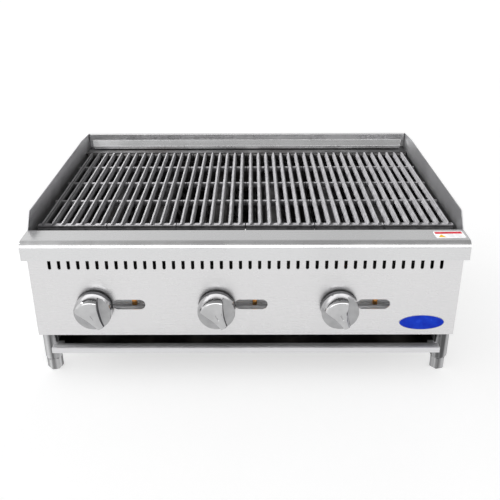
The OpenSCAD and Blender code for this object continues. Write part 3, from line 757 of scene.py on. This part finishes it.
def build_object():
    """Every piece of the grill, each riding on its own body."""
    shells = {
        "side_panel_left": "side", "side_panel_right": "side", "back_panel": "back",
        "rear_splash": "splash", "front_ledge": "ledge", "control_panel": "panel",
    }
    for node, mat in shells.items():
        refine(node, "chassis", mat)
    refine("drip_tray", "drip_tray_body", "tray")
    for corner in CORNERS:
        refine("leg_" + corner, "chassis", "leg", bevel=0.6)
        refine("foot_" + corner, "foot_%s_body" % corner, "foot", bevel=0.8)
    for node in ("liner_left", "liner_right", "liner_rear", "grate_rest_front", "grate_rest_rear"):
        refine(node, "chassis", "liner", bevel=0.3)
    refine("liner_front", "chassis", "shield", bevel=0.3)
    for node in ("base_frame", "tray_runners"):
        refine(node, "chassis", "frame", bevel=0.3)
    for node in ("gas_manifold", "gas_inlet"):
        refine(node, "chassis", "pipe", bevel=0.6)
    for side in SIDES:
        refine("burner_" + side, "chassis", "burner", bevel=0.6)
        refine("valve_" + side, "chassis", "brass", bevel=0.5)
        dress("valve_stem_" + side, "brass")
        refine("pilot_screw_" + side, "pilot_screw_%s_body" % side, "brass", bevel=0.2)
        build_knob(side)
    for index in range(1, 7):
        refine("radiant_%d" % index, "radiant_%d_body" % index, "radiant", bevel=0.3)
        build_grate(index)
    refine("orifice_hoods", "chassis", "brass", bevel=0.4)
    refine("pilot_valves", "chassis", "brass", bevel=0.5)
    refine("pilot_burners", "chassis", "screw", bevel=0.3)
    refine("pilot_tubes", "chassis", "screw", bevel=0.2)
    refine("panel_screws", "chassis", "screw", bevel=0.7)
    build_badge()
    build_label()


# ---------------------------------------------------------------- stage

CAMERA_PLACE = (0.0134, -1.6006, 0.9148)
# Pitch down, yaw and roll in degrees
CAMERA_TURN = (25.304, -0.155, -0.183)
CAMERA_LENS = 49.22
KEY_PLACE = (-2.9, 0.15, 2.45)
KEY_AIM = (0, 0, 0.34)
KEY_SIZE = (0.5, 0.5)
FLOOR_SIZE = 60
KEY_POWER = 150
FRONT_POWER = 78
INNER_POWER = 0.2
GRATE_KEY_POWER = 330
SKY_GAIN = 1.4
# Brightness from left to right and from floor to zenith; 0.5 is the middle and the horizon
SKY_ACROSS = ((0.0, 0.95), (1.0, 0.42), (0.35, 0.62), (0.5, 0.52), (0.65, 0.50))
SKY_UP = ((0.5, 1.0), (1.0, 0.55), (0.77, 1.0), (0.92, 0.6))


def add_camera():
    """The camera stands in front, a little right of the middle, and looks down on the grates."""
    pitch, yaw, roll = (math.radians(a) for a in CAMERA_TURN)
    forward = Vector((math.sin(yaw) * math.cos(pitch), math.cos(yaw) * math.cos(pitch),
                      -math.sin(pitch)))
    right = Vector((math.cos(yaw), -math.sin(yaw), 0))
    up = right.cross(forward)
    right, up = (math.cos(roll) * right + math.sin(roll) * up,
                 math.cos(roll) * up - math.sin(roll) * right)
    camera = bpy.data.objects.new("camera", bpy.data.cameras.new("camera"))
    camera.data.lens = CAMERA_LENS
    camera.data.sensor_width = 36
    camera.data.clip_end = 100
    camera.matrix_world = Matrix((
        (right.x, up.x, -forward.x, CAMERA_PLACE[0]),
        (right.y, up.y, -forward.y, CAMERA_PLACE[1]),
        (right.z, up.z, -forward.z, CAMERA_PLACE[2]),
        (0, 0, 0, 1)))
    bpy.context.scene.collection.objects.link(camera)
    bpy.context.scene.camera = camera


def add_light(name, place, aim, size, power):
    """A white rectangular light at a place, turned to an aim."""
    data = bpy.data.lights.new(name, "AREA")
    data.shape = "RECTANGLE"
    data.size, data.size_y = size
    data.energy = power
    light = bpy.data.objects.new(name, data)
    light.location = place
    light.rotation_euler = (Vector(aim) - Vector(place)).to_track_quat("-Z", "Y").to_euler()
    bpy.context.scene.collection.objects.link(light)
    return light


def sky_level(tree, direction, stops):
    """Brightness along one part of the view direction, from -1 to 1, through the given stops."""
    half = tree.nodes.new("ShaderNodeMath")
    half.operation = "MULTIPLY_ADD"
    half.inputs[1].default_value = 0.5
    half.inputs[2].default_value = 0.5
    tree.links.new(direction, half.inputs[0])
    level = tree.nodes.new("ShaderNodeFloatCurve")
    level.mapping.extend = "HORIZONTAL"
    curve = level.mapping.curves[0]
    for k, (place, value) in enumerate(stops):
        point = curve.points[k] if k < 2 else curve.points.new(0.5, 0.5)
        point.location = (place, value)
    level.mapping.update()
    tree.links.new(half.outputs[0], level.inputs["Value"])
    return level.outputs[0]


def add_world():
    """A studio that is bright on the left, dimmer on the right and darker overhead."""
    world = bpy.data.worlds.new("studio")
    bpy.context.scene.world = world
    world.use_nodes = True
    tree = world.node_tree
    split = tree.nodes.new("ShaderNodeSeparateXYZ")
    coords = tree.nodes.new("ShaderNodeTexCoord")
    tree.links.new(coords.outputs["Generated"], split.inputs[0])
    across = sky_level(tree, split.outputs["X"], SKY_ACROSS)
    upward = sky_level(tree, split.outputs["Z"], SKY_UP)
    both = tree.nodes.new("ShaderNodeMath")
    both.operation = "MULTIPLY"
    tree.links.new(across, both.inputs[0])
    tree.links.new(upward, both.inputs[1])
    gain = tree.nodes.new("ShaderNodeMath")
    gain.operation = "MULTIPLY"
    gain.inputs[1].default_value = SKY_GAIN
    tree.links.new(both.outputs[0], gain.inputs[0])
    background = tree.nodes["Background"]
    tree.links.new(gain.outputs[0], background.inputs["Strength"])
    background.inputs["Color"].default_value = (1, 1, 1, 1)


def skip(light, objects):
    """Keeps one light off these objects."""
    group = bpy.data.collections.new(light.name + "_skips")
    for item in objects:
        group.objects.link(item)
    light.light_linking.receiver_collection = group
    for entry in group.collection_objects:
        entry.light_linking.link_state = "EXCLUDE"


def only(light, objects):
    """Lets one light reach these objects and nothing else."""
    group = bpy.data.collections.new(light.name + "_reaches")
    for item in objects:
        group.objects.link(item)
    light.light_linking.receiver_collection = group


def add_stage():
    """Floor, sky and four lights; which light reaches what is set piece by piece."""
    bpy.ops.mesh.primitive_grid_add(x_subdivisions=4, y_subdivisions=4, size=FLOOR_SIZE,
                                    location=(0, 20, 0))
    floor = bpy.context.active_object
    floor.name = "floor"
    floor.data.materials.append(pale_floor("floor_paint"))

    add_world()
    grates = [piece for piece in bpy.data.objects if piece.name.endswith("_casting")]
    key = add_light("key", KEY_PLACE, KEY_AIM, KEY_SIZE, KEY_POWER)
    skip(key, [floor])
    front = add_light("front", (0, -3.4, 2.0), (0, -0.3, 0.3), (7.0, 1.8), FRONT_POWER)
    skip(front, [floor] + grates)
    grate_key = add_light("grate_key", KEY_PLACE, KEY_AIM, KEY_SIZE, GRATE_KEY_POWER)
    only(grate_key, grates)
    inner = add_light("inner", (0, -0.312, 0.197), (0, -0.266, 0.168), (0.86, 0.006), INNER_POWER)
    inner.visible_camera = False
    bpy.context.scene.view_settings.view_transform = "Standard"


add_camera()
build_object()
add_stage()
